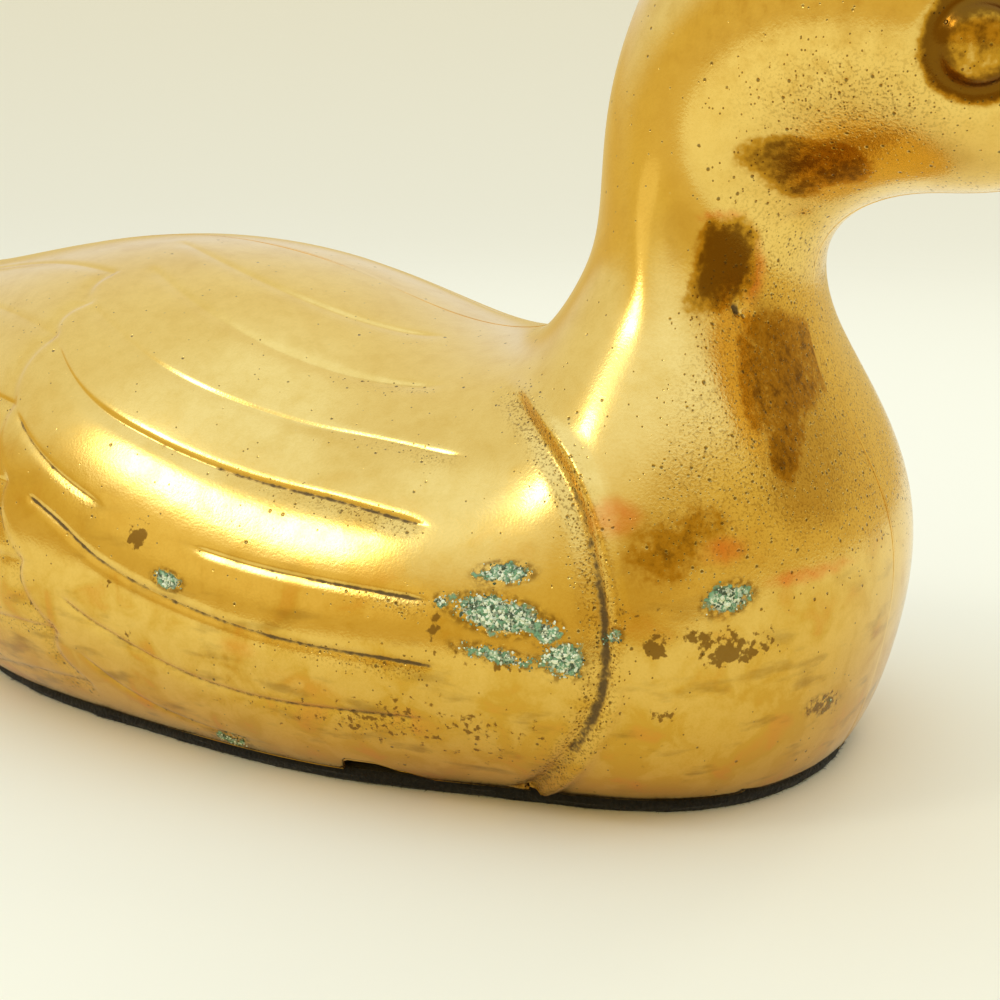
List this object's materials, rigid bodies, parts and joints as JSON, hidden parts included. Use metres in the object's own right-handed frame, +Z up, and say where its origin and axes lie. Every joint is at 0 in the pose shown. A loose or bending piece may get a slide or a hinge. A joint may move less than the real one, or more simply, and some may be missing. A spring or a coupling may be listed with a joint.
{
  "type": "duck figurine",
  "caption": "Hollow cast brass duck figurine with carved wing feathers, round eyes and a flat felt-covered base.",
  "frame": {"origin": "on the table under the middle of the duck's length, in its middle plane", "axes": "+X towards the bill, +Y towards the duck's left side, +Z up"},
  "size_m": [0.17, 0.069, 0.0823],
  "materials": {
    "cast_brass": "polished cast brass, worn, with fine pits and spots of green tarnish",
    "braze_metal": "brazing brass, filed flush outside and rough inside",
    "black_felt": "thin black wool felt, glued on",
    "grey_card": "plain grey card"
  },
  "bodies": {
    "root": {"right_half_shell": "cast_brass", "left_half_shell": "cast_brass", "seam_braze": "braze_metal", "felt_pad": "black_felt", "backing_card": "grey_card"}
  },
  "joints": []
}
